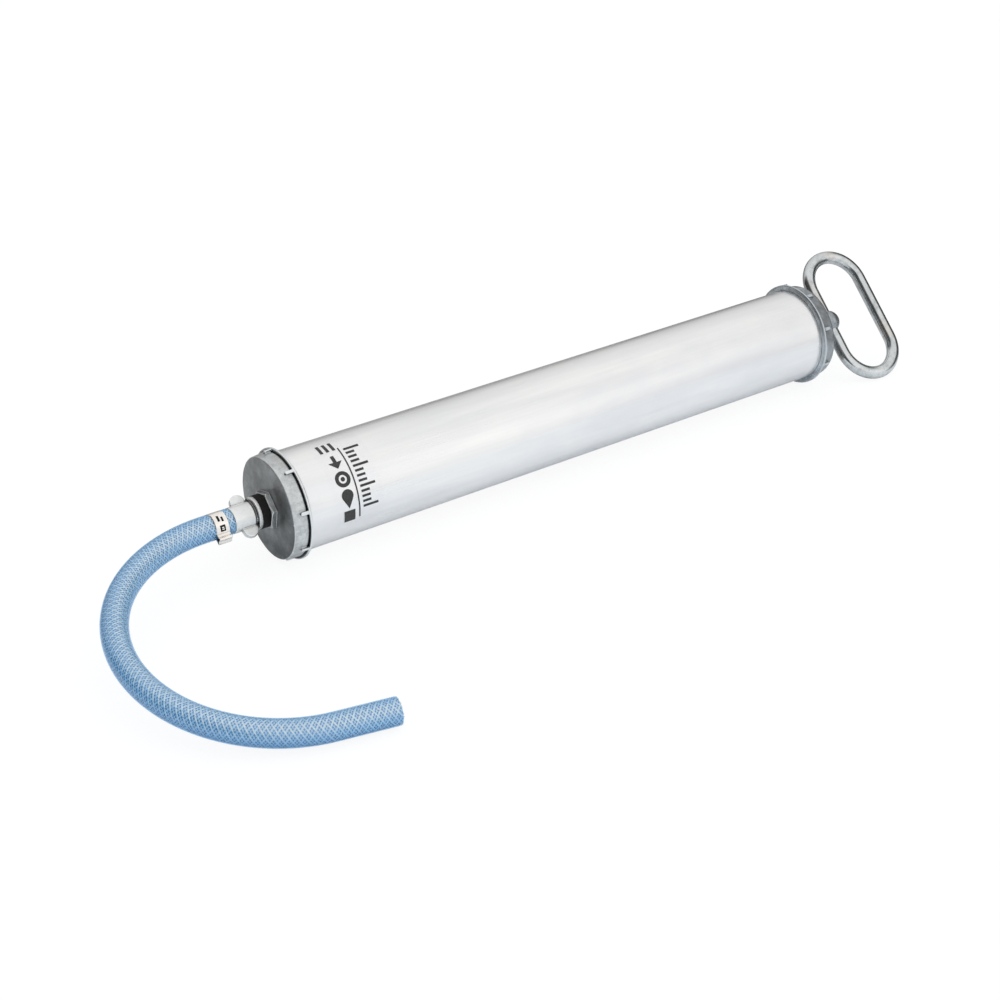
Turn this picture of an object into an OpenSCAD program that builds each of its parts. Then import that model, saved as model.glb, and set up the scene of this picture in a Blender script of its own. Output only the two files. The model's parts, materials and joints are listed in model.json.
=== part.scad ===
// Hand-operated gear oil pump: a suction and filling gun with a sliding piston.
// The barrel lies along X, with its origin at mid-length on the barrel's axis.
// The hose leaves at the -X end and the handle is pulled out at the +X end.
// Angles round the barrel are counted from +Y towards +Z.

/* [Barrel] */
// Outside diameter of the aluminium tube
barrel_d = 70; // [64:1:80]
// Wall thickness of the tube
barrel_wall = 1.5; // [1:0.1:2.5]
// Length over the faces of both caps
body_length = 476; // [460:1:600]

/* [Caps] */
// Depth of a cap from its face to the end of its skirt
cap_depth = 13; // [12:0.5:18]
// Thickness of a cap's face plate
cap_plate = 4.5; // [4:0.5:6]
// How far the cap's rim flange stands out from the tube
cap_rim = 4; // [3:0.5:6]
// Number of grip ribs on each cap
rib_count = 8; // [4:1:12]
// Width of a grip rib
rib_width = 2.4; // [1.5:0.1:4]
// Angle of the first rib on the front cap
front_rib_angle = 27.5; // [0:0.5:45]
// Angle of the first rib on the rear cap
rear_rib_angle = 18; // [0:0.5:45]

/* [Port and connector] */
// Distance across the flats of the hexagon boss
boss_flats = 24; // [23:0.5:28]
// Height of the hexagon boss above the cap face
boss_height = 4; // [3:0.5:6]
// Outside diameter of the connector's thread, a three-eighths pipe thread
thread_d = 16.66; // [14:0.01:17]
// Thickness of the rubber sealing ring
seal_thick = 5.7; // [3:0.1:7]
// Diameter of the connector's body
connector_d = 18; // [17:0.5:20]
// Length of the connector's body, from its flange to the hose
connector_length = 16.3; // [14:0.1:20]
// Reach of each wing from the axis
wing_reach = 15.8; // [13:0.1:20]
// Direction of the first wing
wing_angle = 35; // [0:1:180]

/* [Hose] */
// Outside diameter of the hose
hose_d = 18; // [18:0.5:20]
// Bore of the hose
hose_bore = 12; // [11.8:0.1:12.4]
// Straight stretch of hose on the connector's tail
hose_lead = 20; // [16:1:40]
// Radius of the hose's bend, to its centre line
hose_bend_r = 100.4; // [60:0.1:160]
// Angle that the hose turns through
hose_bend = 170; // [45:1:180]
// Straight stretch at the free end
hose_tail = 40; // [20:1:120]
// How far the hose's loop droops from the level
hose_droop = 8.4; // [0:0.1:45]

/* [Rod and handle] */
// Diameter of the piston rod
rod_d = 12; // [10:0.5:13]
// Diameter of the bar that the handle is bent from
handle_bar = 10; // [6:0.1:10.4]
// Spacing of the handle's two straight bars
handle_width = 49.5; // [40:0.5:70]
// Length of each straight bar between the bends
handle_straight = 53; // [30:1:90]
// Gap from the rear cap's face to the near bar's centre line
handle_gap = 25.6; // [25:0.1:40]
// Angle of the handle's long side
handle_angle = 42.5; // [0:0.5:180]

/* [Hidden] */
$fn = 96;

fit = 0.05;
eps = 0.5;
barrel_r = barrel_d / 2;
bore_r = barrel_r - barrel_wall;
front_face = -body_length / 2;
rear_face = body_length / 2;
gasket_thick = 1.5;
tube_start = front_face + cap_plate + gasket_thick;
tube_end = rear_face - cap_plate - gasket_thick;

cap_edge_r = barrel_r + 1;
cap_root_r = barrel_r + 2;
rim_r = barrel_r + cap_rim;
rim_thick = 1.5;
lip_thick = 0.7;
lip_r = rim_r - 1.2;
front_edge = 0.7;
rear_edge = 1.8;
rib_start = 5;
rim_start = cap_depth - rim_thick - lip_thick;

vent_r = 1.6;
vent_at = barrel_r - 11;
vent_angle = 60;
hub_r = 14;
hub_out = 3.5;
hub_in = 10;
hub_fillet = 2.2;
hub_spread = 3;

bush_r = 9;
bush_flange_r = 11.5;
bush_flange = 2;
bush_end = rear_face + hub_out + 4.5;
bush_start = rear_face - cap_plate - hub_in - bush_flange;
clip_groove_r = 8.1;
clip_thick = 1.2;
clip_start = rear_face + hub_out + 0.2;
clip_angle = 310;
wiper_r = 7.6;
wiper_depth = 2.4;

spigot_r = 5;
nut_thick = 8;
nut_flats = 17;
lock_thick = 2.2;
lock_width = 3.6;
lock_sweep = 350;
washer_thick = 3;
washer_r = 24;
cup_base = 3;
cup_depth = 13;
cup_wall = 3;
cup_r = bore_r - fit;
spacer_thick = 6;
nut_start = tube_start + 2;
lock_start = nut_start + nut_thick;
front_washer_start = lock_start + lock_thick;
front_cup_start = front_washer_start + washer_thick;
spacer_start = front_cup_start + cup_base;
rear_cup_start = spacer_start + spacer_thick;
rear_washer_start = rear_cup_start + cup_base;
rod_shoulder = rear_washer_start + washer_thick;

handle_r = handle_bar / 2;
handle_x = rear_face + handle_gap;
head_r = 9;
head_foot = 14.5;
head_start = handle_x - head_foot;
head_pin_x = handle_x - 9;
head_pin_r = 1.5;
rod_end = handle_x - handle_r - 0.6;

boss_angle = 42;
boss_face = front_face - boss_height;
seal_face = boss_face - seal_thick;
flange_thick = 2.5;
flange_r = 11.4;
connector_r = connector_d / 2;
body_start = seal_face - flange_thick;
hose_start = body_start - connector_length;
thread_r = thread_d / 2;
port_r = thread_r + fit;
spigot_length = seal_thick + boss_height + cap_plate - 0.2;
wing_width = 10.5;
wing_thick = 3.6;
wing_x = body_start - 6.3;
tail_length = 24;
tail_r = hose_bore / 2 - 0.3;
barb_r = hose_bore / 2 + 0.4;
barb_pitch = 6;
barb_count = 3;
water_r = 4.4;

hose_r = hose_d / 2;
clamp_width = 9.6;
clamp_start = hose_start - 5;
clamp_thick = 0.6;
clamp_r = hose_r + fit;
ear_angle = 205;
ear_width = 7.5;
ear_reach = 14.2;
ear_corner = 1.6;

label_start = front_face + 31.8;
label_length = 37;
label_thick = 0.1;
label_from = 86;
label_sweep = 112;

// Points along an arc about a centre, from angle a0 to angle a1.
function arc(centre, r, a0, a1, steps = 6) =
    [for (i = [0:steps]) centre + r * [cos(a0 + (a1 - a0) * i / steps), sin(a0 + (a1 - a0) * i / steps)]];

// Turns a child's Z axis to +X, its X axis to +Y and its Y axis to +Z, at position x.
module axial(x = 0) {
    translate([x, 0, 0])
        rotate([90, 0, 90])
            children();
}

// A plain disc with a round hole, along X.
module ring(x, length, r_out, r_in) {
    axial(x)
        difference() {
            cylinder(h = length, r = r_out);
            translate([0, 0, -eps])
                cylinder(h = length + 2 * eps, r = r_in);
        }
}

// A cup that fits over the end of the tube, face at z = 0 and skirt towards +Z.
// edge is the radius of the rounding where the face meets the side.
module cap_shell(edge) {
    rotate_extrude()
        polygon(concat(
            [[0, 0]],
            arc([cap_edge_r - edge, edge], edge, -90, 0),
            [[cap_root_r, rim_start],
             [rim_r, rim_start],
             [rim_r, rim_start + rim_thick],
             [lip_r, rim_start + rim_thick],
             [lip_r, cap_depth],
             [barrel_r + fit, cap_depth],
             [barrel_r + fit, cap_plate],
             [0, cap_plate]]));
}

// Round-nosed ribs that stand on the cap's side and run into its rim.
module cap_ribs(first_angle) {
    foot = cap_edge_r - 0.7;
    height = rim_r - 0.3 - foot;
    for (i = [0:rib_count - 1])
        rotate(first_angle + i * 360 / rib_count)
            translate([foot, 0, rib_start + rib_width / 2]) {
                rotate([0, 90, 0])
                    cylinder(h = height, r = rib_width / 2, $fn = 32);
                translate([0, -rib_width / 2, 0])
                    cube([height, rib_width, rim_start - rib_start - rib_width / 2 + eps]);
            }
}

// A hexagon boss with its corners turned down, from z = 0 towards -Z.
module hex_boss() {
    corner_r = boss_flats / 2 + 0.3;
    corner_slope = 1.7;
    height = boss_height + eps;
    translate([0, 0, -boss_height])
        intersection() {
            rotate(boss_angle)
                cylinder(h = height, r = boss_flats / sqrt(3), $fn = 6);
            cylinder(h = height, r1 = corner_r, r2 = corner_r + corner_slope * height);
        }
}

module barrel_tube() {
    color("gainsboro")
        ring(tube_start, tube_end - tube_start, barrel_r, bore_r);
}

module front_cap() {
    mouth = 0.8;
    color("darkgray")
        axial(front_face)
            difference() {
                union() {
                    cap_shell(front_edge);
                    cap_ribs(front_rib_angle);
                    hex_boss();
                }
                translate([0, 0, -boss_height - eps])
                    cylinder(h = boss_height + cap_plate + 2 * eps, r = port_r);
                translate([0, 0, -boss_height - 0.01])
                    cylinder(h = mouth, r1 = port_r + mouth, r2 = port_r);
            }
}

module front_cap_gasket() {
    color("dimgray")
        ring(front_face + cap_plate, gasket_thick, barrel_r - fit, bore_r - 4);
}

module rear_cap() {
    lap = 0.2;
    color("darkgray")
        translate([rear_face, 0, 0])
            mirror([1, 0, 0])
                axial()
                    difference() {
                        union() {
                            cap_shell(rear_edge);
                            cap_ribs(rear_rib_angle);
                            translate([0, 0, -hub_out])
                                cylinder(h = hub_out + cap_plate + hub_in, r = hub_r);
                            rotate_extrude()
                                polygon([
                                    [hub_r - 1, -hub_fillet],
                                    [hub_r + hub_spread, lap],
                                    [hub_r - 1, lap]
                                ]);
                        }
                        translate([0, 0, -hub_out - eps])
                            cylinder(h = hub_out + cap_plate + hub_in + 2 * eps, r = bush_r + fit);
                        rotate(vent_angle)
                            translate([vent_at, 0, -eps])
                                cylinder(h = cap_plate + 2 * eps, r = vent_r, $fn = 32);
                    }
}

module rear_cap_gasket() {
    color("dimgray")
        ring(tube_end, gasket_thick, barrel_r - fit, bore_r - 4);
}

// A clear film on the tube that carries the printed marks.
module barrel_label() {
    color("whitesmoke")
        axial(label_start)
            rotate(label_from)
                rotate_extrude(angle = label_sweep)
                    translate([barrel_r + 0.02, 0])
                        square([label_thick, label_length]);
}

module rod_guide_bush() {
    groove_width = clip_thick + 0.1;
    color("darkgoldenrod")
        difference() {
            union() {
                ring(bush_start, bush_flange, bush_flange_r, rod_d / 2 + fit);
                ring(bush_start, bush_end - bush_start, bush_r, rod_d / 2 + fit);
            }
            ring(clip_start - fit, groove_width, bush_r + 1, clip_groove_r);
            axial(bush_end - wiper_depth)
                cylinder(h = wiper_depth + eps, r = wiper_r);
        }
}

// An open snap ring with an eyed lug at each end.
module bush_circlip() {
    inner = clip_groove_r + fit;
    band = 2.5;
    lug_r = 1.9;
    lug_at = inner + lug_r + 0.2;
    color("slategray")
        axial(clip_start)
            rotate(90 + (360 - clip_angle) / 2)
                difference() {
                    union() {
                        rotate_extrude(angle = clip_angle)
                            translate([inner, 0])
                                square([band, clip_thick]);
                        for (end = [0, clip_angle])
                            rotate(end)
                                translate([lug_at, 0, 0])
                                    cylinder(h = clip_thick, r = lug_r, $fn = 32);
                    }
                    for (end = [0, clip_angle])
                        rotate(end)
                            translate([lug_at, 0, -eps])
                                cylinder(h = clip_thick + 2 * eps, r = 0.8, $fn = 32);
                }
}

// A lipped ring seated in the bush's outer counterbore.
module rod_wiper() {
    inner = rod_d / 2 + fit;
    color("black")
        axial(bush_end - wiper_depth)
            rotate_extrude()
                polygon([
                    [inner + 0.5, 0],
                    [wiper_r - fit, 0],
                    [wiper_r - fit, wiper_depth],
                    [inner + 0.7, wiper_depth],
                    [inner, wiper_depth + 0.8],
                    [inner, wiper_depth - 0.6]]);
}

module piston_rod() {
    tip = nut_start - 1;
    color("silver")
        difference() {
            union() {
                axial(rod_shoulder)
                    cylinder(h = rod_end - rod_shoulder, r = rod_d / 2);
                axial(tip + 1)
                    cylinder(h = rod_shoulder - tip - 1, r = spigot_r);
                axial(tip)
                    cylinder(h = 1, r1 = spigot_r - 1, r2 = spigot_r);
            }
            rotate([handle_angle + 90, 0, 0])
                translate([head_pin_x, 0, 0])
                    rotate([-90, 0, 0])
                        cylinder(h = 2 * head_r, r = head_pin_r + fit, center = true, $fn = 32);
        }
}

// A domed boss that holds the rod in its foot and the handle's near bar in a cross hole.
module rod_head() {
    dome_r = head_r - 0.6;
    dome_x = head_foot + 0.5;
    color("darkgray")
        difference() {
            union() {
                axial(head_start)
                    rotate_extrude()
                        polygon(concat(
                            [[0, 0], [head_r - 1.6, 0], [head_r - 0.6, 1]],
                            [[head_r, dome_x - 4.5]],
                            arc([head_r - dome_r, dome_x], dome_r, 0, 90, 12),
                            [[0, dome_x + dome_r]]));
            }
            axial(head_start - eps)
                cylinder(h = rod_end - head_start + eps + 0.2, r = rod_d / 2 + fit);
            rotate([handle_angle, 0, 0])
                translate([handle_x, 0, 0])
                    rotate([-90, 0, 0])
                        cylinder(h = 3 * head_r, r = handle_r + fit, center = true);
            rotate([handle_angle + 90, 0, 0])
                translate([head_pin_x, 0, 0])
                    rotate([-90, 0, 0])
                        cylinder(h = 3 * head_r, r = head_pin_r + fit, center = true, $fn = 32);
        }
}

module rod_head_pin() {
    color("slategray")
        rotate([handle_angle + 90, 0, 0])
            translate([head_pin_x, 0, 0])
                rotate([-90, 0, 0])
                    cylinder(h = 2 * head_r - 0.6, r = head_pin_r, center = true, $fn = 32);
}

// A closed loop of round bar: two straight bars joined by two half-round bends.
module handle_loop() {
    bend_r = handle_width / 2;
    half = handle_straight / 2;
    color("lightsteelblue")
        rotate([handle_angle, 0, 0])
            translate([handle_x + bend_r, 0, 0]) {
                for (side = [-1, 1])
                    translate([side * bend_r, 0, 0])
                        rotate([90, 0, 0])
                            cylinder(h = handle_straight, r = handle_r, center = true);
                translate([0, half, 0])
                    rotate_extrude(angle = 180)
                        translate([bend_r, 0])
                            circle(r = handle_r);
                translate([0, -half, 0])
                    rotate(180)
                        rotate_extrude(angle = 180)
                            translate([bend_r, 0])
                                circle(r = handle_r);
            }
}

module piston_rear_washer() {
    color("silver")
        ring(rear_washer_start, washer_thick, washer_r, spigot_r + fit);
}

// A rubber cup, base at z = 0 to cup_base and lip towards +Z.
module seal_cup() {
    heel = 1.2;
    lip_top = cup_r - 1;
    rotate_extrude()
        polygon([
            [spigot_r + fit, 0],
            [cup_r - heel - 0.6, 0],
            [cup_r - 0.6, heel],
            [cup_r - 0.6, cup_depth - 5],
            [cup_r, cup_depth - 2],
            [cup_r, cup_depth],
            [lip_top, cup_depth],
            [cup_r - cup_wall, cup_depth - 4],
            [cup_r - cup_wall, cup_base + 1.5],
            [cup_r - cup_wall - 1.5, cup_base],
            [spigot_r + fit, cup_base]]);
}

module rear_cup() {
    color("saddlebrown")
        axial(rear_cup_start)
            seal_cup();
}

module piston_spacer() {
    color("gainsboro")
        ring(spacer_start, spacer_thick, bore_r - 1.2, spigot_r + fit);
}

module front_cup() {
    color("saddlebrown")
        translate([spacer_start, 0, 0])
            mirror([1, 0, 0])
                axial()
                    seal_cup();
}

module piston_front_washer() {
    color("silver")
        ring(front_washer_start, washer_thick, washer_r, spigot_r + fit);
}

// A split spring washer.
module lock_washer() {
    color("slategray")
        axial(lock_start)
            rotate_extrude(angle = lock_sweep)
                translate([spigot_r + fit, 0])
                    square([lock_width, lock_thick]);
}

module piston_nut() {
    color("lightsteelblue")
        axial(nut_start)
            difference() {
                cylinder(h = nut_thick, r = nut_flats / sqrt(3), $fn = 6);
                translate([0, 0, -eps])
                    cylinder(h = nut_thick + 2 * eps, r = spigot_r + fit);
            }
}

module connector_gasket() {
    round_over = 0.5;
    outer = flange_r + 0.3;
    inner = port_r + fit;
    color("black")
        axial(seal_face)
            rotate_extrude()
                polygon(concat(
                    [[inner, 0]],
                    arc([outer - round_over, round_over], round_over, -90, 0, 4),
                    arc([outer - round_over, seal_thick - round_over], round_over, 0, 90, 4),
                    [[inner, seal_thick]]));
}

// One flat wing with a round end, standing out from the connector's body.
module wing() {
    end_r = wing_width / 2;
    rotate([90, 0, 0])
        translate([0, 0, -wing_thick / 2])
            linear_extrude(wing_thick) {
                translate([connector_r - 3, -end_r])
                    square([wing_reach - end_r - connector_r + 3, wing_width]);
                translate([wing_reach - end_r, 0])
                    circle(r = end_r);
            }
}

// Three sloping barbs on the tail that the hose is pushed over, pointing to -Z.
module barbed_tail() {
    rotate_extrude()
        polygon(concat(
            [[0, eps], [tail_r, eps]],
            [for (i = [0:barb_count - 1])
                for (p = [[tail_r, -3 - i * barb_pitch],
                          [barb_r, -3 - i * barb_pitch],
                          [tail_r, -3 - (i + 0.9) * barb_pitch]])
                    p],
            [[tail_r, -tail_length + 1],
             [tail_r - 1, -tail_length],
             [0, -tail_length]]));
}

module wing_connector() {
    fillet = 0.8;
    water_length = connector_length + flange_thick + spigot_length + 2 * eps;
    color("lightgray")
        difference() {
            union() {
                axial(seal_face - 0.1)
                    cylinder(h = spigot_length + 0.1, r = thread_r);
                axial(body_start)
                    cylinder(h = flange_thick, r = flange_r);
                axial(hose_start)
                    rotate_extrude()
                        polygon(concat(
                            [[0, 0], [connector_r - fillet, 0]],
                            arc([connector_r - fillet, fillet], fillet, -90, 0, 4),
                            [[connector_r, connector_length - 1.6],
                             [connector_r - 0.6, connector_length - 1.2],
                             [connector_r - 0.6, connector_length + eps],
                             [0, connector_length + eps]]));
                axial(wing_x)
                    for (side = [0, 180])
                        rotate(wing_angle + side)
                            wing();
                axial(hose_start)
                    barbed_tail();
            }
            axial(hose_start - tail_length - eps)
                cylinder(h = tail_length + water_length, r = water_r);
        }
}

// A round core of radius r along the hose's path: lead, bend and tail in one plane.
// It runs on past both ends by overrun. The straight stretches lap a little way
// over the bend, and are a hair wider there so that the pieces join cleanly.
module hose_core(r, overrun = 0) {
    lap = 0.3;
    straight_r = r + 0.01;
    translate([-overrun, 0, 0])
        rotate([0, 90, 0])
            cylinder(h = hose_lead + lap + overrun, r = straight_r);
    translate([hose_lead, hose_bend_r, 0]) {
        rotate(-90)
            rotate_extrude(angle = hose_bend)
                translate([hose_bend_r, 0])
                    circle(r = r);
        rotate(hose_bend - 90)
            translate([hose_bend_r, -lap, 0])
                rotate([-90, 0, 0])
                    cylinder(h = hose_tail + lap + overrun, r = straight_r);
    }
}

module hose() {
    color("lightskyblue")
        translate([hose_start, 0, 0])
            rotate([hose_droop, 0, 0])
                rotate([0, 0, 180])
                    difference() {
                        hose_core(hose_r);
                        hose_core(hose_bore / 2, eps);
                    }
}

// The outline of the clamp band, with its raised ear, grown outwards by grow.
module clamp_outline(grow) {
    half = ear_width / 2 - clamp_thick + grow;
    top = ear_reach - clamp_thick + grow;
    circle(r = clamp_r + grow);
    rotate(ear_angle) {
        translate([0, -half])
            square([top - ear_corner, 2 * half]);
        translate([0, -half + ear_corner])
            square([top, 2 * (half - ear_corner)]);
        for (side = [-1, 1])
            translate([top - ear_corner, side * (half - ear_corner)])
                circle(r = ear_corner, $fn = 32);
    }
}

// A one-ear clamp: a band whose end laps over its start and hooks into it.
module ear_clamp() {
    lap_from = 96;
    lap_sweep = 84;
    color("silver")
        axial(clamp_start - clamp_width)
            difference() {
                union() {
                    linear_extrude(clamp_width)
                        difference() {
                            clamp_outline(clamp_thick);
                            clamp_outline(0);
                        }
                    rotate(lap_from)
                        rotate_extrude(angle = lap_sweep)
                            translate([clamp_r + clamp_thick - 0.1, 0])
                                square([clamp_thick + 0.1, clamp_width]);
                }
                for (a = [lap_from + 20, lap_from + 38])
                    rotate(a)
                        translate([clamp_r - 1, -1, clamp_width * 0.3])
                            cube([4, 2, clamp_width * 0.18]);
                rotate(lap_from + lap_sweep - 14)
                    translate([clamp_r - 1, -1.6, clamp_width * 0.26])
                        cube([4, 3.2, clamp_width * 0.48]);
            }
}

barrel_tube();
front_cap();
front_cap_gasket();
rear_cap();
rear_cap_gasket();
barrel_label();
rod_guide_bush();
bush_circlip();
rod_wiper();
piston_rod();
rod_head();
rod_head_pin();
handle_loop();
piston_rear_washer();
rear_cup();
piston_spacer();
front_cup();
piston_front_washer();
lock_washer();
piston_nut();
connector_gasket();
wing_connector();
hose();
ear_clamp();
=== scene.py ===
import json
import math

import bmesh
import bpy
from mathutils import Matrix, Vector, noise


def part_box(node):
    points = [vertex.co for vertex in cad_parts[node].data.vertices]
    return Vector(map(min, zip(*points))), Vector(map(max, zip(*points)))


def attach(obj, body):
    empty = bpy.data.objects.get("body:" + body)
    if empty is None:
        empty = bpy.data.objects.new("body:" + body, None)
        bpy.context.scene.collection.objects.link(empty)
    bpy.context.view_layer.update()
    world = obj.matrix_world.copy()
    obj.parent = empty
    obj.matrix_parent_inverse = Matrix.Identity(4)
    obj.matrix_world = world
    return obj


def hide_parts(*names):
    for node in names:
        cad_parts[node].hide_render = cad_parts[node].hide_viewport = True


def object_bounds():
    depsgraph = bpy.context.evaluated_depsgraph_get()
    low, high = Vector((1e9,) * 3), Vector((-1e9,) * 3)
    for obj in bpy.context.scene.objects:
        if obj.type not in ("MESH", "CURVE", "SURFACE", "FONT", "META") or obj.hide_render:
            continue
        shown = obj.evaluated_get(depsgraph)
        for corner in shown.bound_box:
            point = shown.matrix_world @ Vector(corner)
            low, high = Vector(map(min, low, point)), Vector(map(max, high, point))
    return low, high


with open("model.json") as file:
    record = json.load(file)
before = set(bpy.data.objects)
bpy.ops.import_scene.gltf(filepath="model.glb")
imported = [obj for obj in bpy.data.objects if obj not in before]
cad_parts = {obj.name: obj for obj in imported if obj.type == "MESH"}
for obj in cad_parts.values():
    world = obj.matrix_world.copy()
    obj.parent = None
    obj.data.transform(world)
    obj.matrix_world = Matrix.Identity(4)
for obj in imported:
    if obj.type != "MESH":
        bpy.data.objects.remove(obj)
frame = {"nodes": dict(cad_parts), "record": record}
cad_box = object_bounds()

MM = 0.001

# The camera of a product shot: a long lens, looking down on the hose end.
AZIMUTH = math.radians(-34.6)
ELEVATION = math.radians(30.8)
CAMERA_DISTANCE = 1.3235
LENS_MM = 71.5
AIM = Vector((-0.1088, -0.0845, 0.0043))

# Where the main light comes from, for the painted shade on the hose and the yarn's painted glints.
MAIN_LIGHT = Vector((0.50, -0.30, 0.81))

# Sizes of what the frame doesn't carry, in metres.
HOSE_R = 9 * MM
HOSE_BORE_R = 6 * MM
INNER_TUBE_R = 8.05 * MM
SKIN_INNER_R = 8.72 * MM
BRAID_R = 8.38 * MM
BRAID_LEAD = 33.6 * MM
YARNS_PER_WAY = 16
YARN_WIDTH = 1.25 * MM
YARN_THICK = 0.2 * MM
CLAMP_SETBACK = 5 * MM
CLAMP_THICK = 0.6 * MM
BAR_R = 5 * MM
PITCH = 25.4 / 19 * MM
THREAD_DEPTH = 0.8 * MM
GROOVE_WIDTH = 0.85 * MM
FILM_THICK = 0.05 * MM
INK_THICK = 0.02 * MM
SAME_POINT = 0.002 * MM


# ---------------------------------------------------------------- materials

class Shader:
    """A small builder for node materials, and for the world. Most methods return an output socket."""

    def __init__(self, name, owners=bpy.data.materials):
        self.material = owners.new(name)
        self.material.use_nodes = True
        self.tree = self.material.node_tree
        self.tree.nodes.clear()
        self.place = self.add("ShaderNodeTexCoord").outputs["Object"]

    def add(self, kind, values=None, **settings):
        node = self.tree.nodes.new(kind)
        for key, value in settings.items():
            setattr(node, key, value)
        for key, value in (values or {}).items():
            self.put(node.inputs[key], value)
        return node

    def put(self, socket, value):
        if isinstance(value, bpy.types.NodeSocket):
            self.tree.links.new(value, socket)
        else:
            socket.default_value = value

    def stretched(self, scale):
        return self.add("ShaderNodeMapping", {"Vector": self.place, "Scale": scale}).outputs["Vector"]

    def noise(self, scale, detail, roughness, stretch=None):
        vector = self.stretched(stretch) if stretch else self.place
        values = {"Vector": vector, "Scale": scale, "Detail": detail, "Roughness": roughness}
        return self.add("ShaderNodeTexNoise", values).outputs["Fac"]

    def ramp(self, factor, stops):
        node = self.add("ShaderNodeValToRGB", {"Fac": factor})
        elements = node.color_ramp.elements
        while len(elements) < len(stops):
            elements.new(0.5)
        for element, (at, colour) in zip(elements, stops):
            element.position = at
            element.color = colour if len(colour) == 4 else (*colour, 1)
        return node.outputs["Color"]

    def span(self, factor, low, high, from_low=0.0, from_high=1.0):
        values = {"Value": factor, "From Min": from_low, "From Max": from_high, "To Min": low, "To Max": high}
        return self.add("ShaderNodeMapRange", values).outputs["Result"]

    def smooth(self, value, low, high, from_low, from_high):
        """The same as span, with soft ends."""
        values = {"Value": value, "From Min": from_low, "From Max": from_high, "To Min": low, "To Max": high}
        return self.add("ShaderNodeMapRange", values, interpolation_type="SMOOTHSTEP").outputs["Result"]

    def math(self, operation, a, b=0.0):
        return self.add("ShaderNodeMath", {0: a, 1: b}, operation=operation).outputs[0]

    def vector(self, operation, a, b=(0, 0, 0)):
        node = self.add("ShaderNodeVectorMath", {0: a, 1: b}, operation=operation)
        return node.outputs["Value" if operation == "DOT_PRODUCT" else "Vector"]

    def mix(self, factor, a, b, blend="MIX"):
        node = self.add("ShaderNodeMix", data_type="RGBA", blend_type=blend)
        for key, value in (("Factor", factor), ("A", a), ("B", b)):
            kind = "VALUE" if key == "Factor" else "RGBA"
            self.put(next(s for s in node.inputs if s.name == key and s.type == kind), value)
        return next(s for s in node.outputs if s.type == "RGBA")

    def bump(self, height, distance, strength=1.0, normal=None):
        values = {"Height": height, "Distance": distance, "Strength": strength}
        if normal:
            values["Normal"] = normal
        return self.add("ShaderNodeBump", values).outputs["Normal"]

    def edges(self, radius):
        """The rounded normal near sharp edges."""
        return self.add("ShaderNodeBevel", {"Radius": radius}, samples=6).outputs["Normal"]

    def round_x(self):
        """Tangents that run round the X axis, for drawn and turned metal."""
        return self.add("ShaderNodeTangent", direction_type="RADIAL", axis="X").outputs[0]

    def principled(self, values):
        return self.add("ShaderNodeBsdfPrincipled", values).outputs["BSDF"]

    def finish(self, surface):
        self.add("ShaderNodeOutputMaterial", {"Surface": surface})
        return self.material


def grey(value, tint=(1, 1, 1)):
    return tuple(value * t for t in tint) + (1,)


def drawn_aluminium():
    """Satin tube: drawing lines along it, broad faint bands and a few soft rub marks."""
    s = Shader("drawn_aluminium")
    lines = s.noise(900, 3, 0.6, stretch=(0.012, 1, 1))
    bands = s.noise(60, 3, 0.55, stretch=(0.10, 1, 1))
    clouds = s.noise(16, 5, 0.65, stretch=(0.5, 1, 1))
    tone = s.mix(s.span(lines, 0, 1, 0.3, 0.7), grey(0.91), grey(0.95))
    tone = s.mix(s.span(bands, 0, 0.75, 0.42, 0.68), tone, grey(0.83, (0.98, 0.99, 1.015)))
    tone = s.mix(s.span(clouds, 0, 0.6, 0.48, 0.70), tone, grey(0.84, (0.975, 0.985, 1.025)))
    rough = s.math("ADD", s.span(lines, 0.24, 0.32), s.span(clouds, -0.03, 0.06))
    normal = s.bump(lines, 0.004 * MM, 0.5)
    return s.finish(s.principled({
        "Base Color": tone, "Metallic": 1.0, "Roughness": rough, "Normal": normal,
        "Anisotropic": 0.35, "Tangent": s.round_x()}))


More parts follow.
